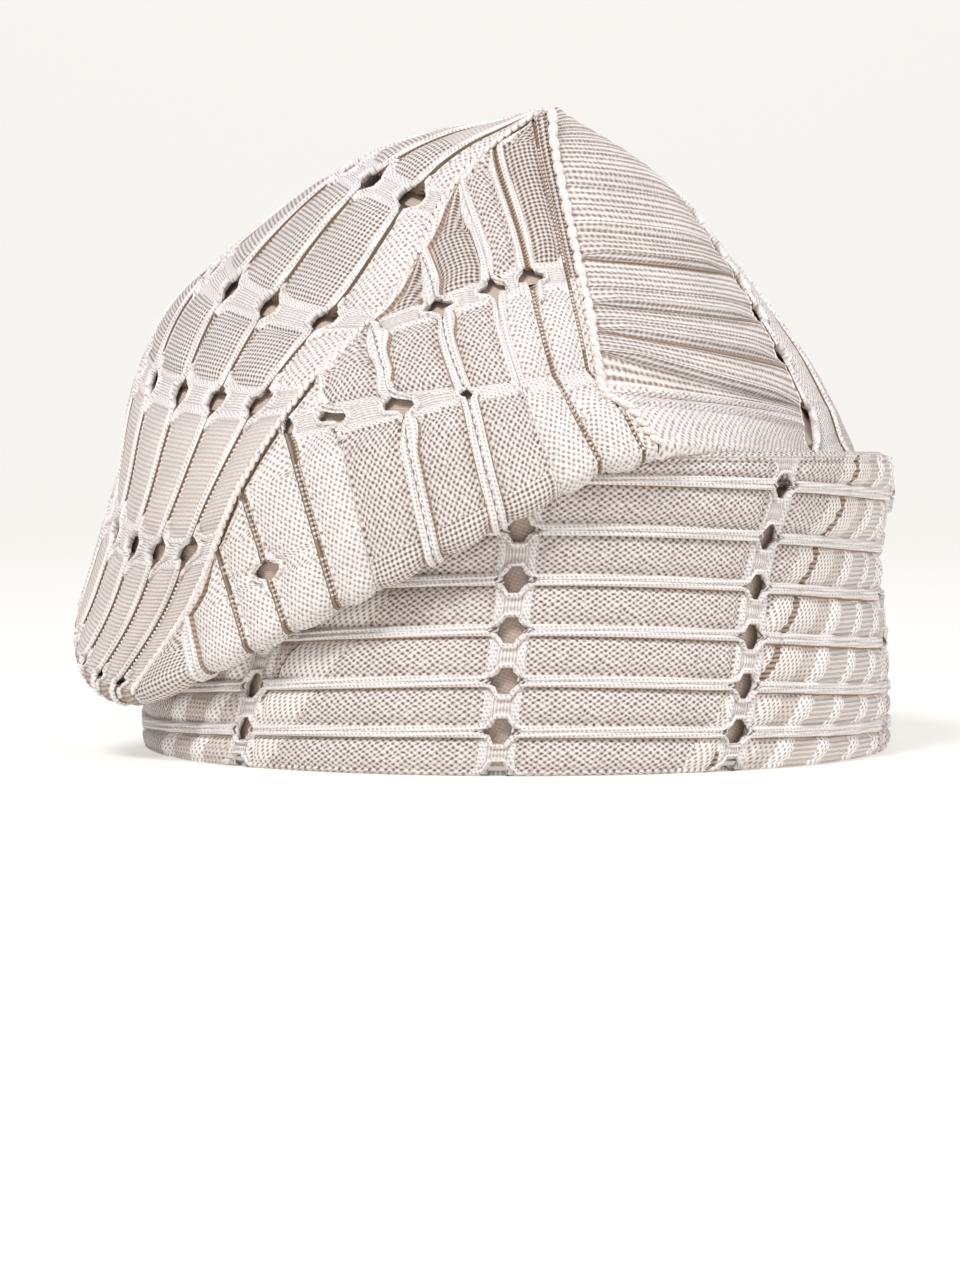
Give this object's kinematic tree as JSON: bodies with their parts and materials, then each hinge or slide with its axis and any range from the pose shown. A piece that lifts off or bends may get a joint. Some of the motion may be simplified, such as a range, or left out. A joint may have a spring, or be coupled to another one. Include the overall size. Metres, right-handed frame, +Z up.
{
  "type": "fila cap",
  "caption": "Soft openwork fila cap: an upright ribbed band open below for the head, and a lined crown folded over it in a slanting lip to one side.",
  "frame": {"origin": "under the middle of the cap's overall box, on the plane of the rim", "axes": "+Z up, -Y towards the front of the cap, +X to the right of someone facing its front; the crown falls to -X"},
  "size_m": [0.1832, 0.2126, 0.1436],
  "materials": {
    "cloth": "matt ivory openwork strip weave with raised cord ribs",
    "lining": "smooth matt brown-grey plain weave"
  },
  "bodies": {
    "root": {"band": "cloth", "band_lining": "lining", "crown_front": "cloth", "crown_left": "cloth", "crown_right": "cloth", "crown_back": "cloth", "crown_lining": "lining"}
  },
  "joints": []
}
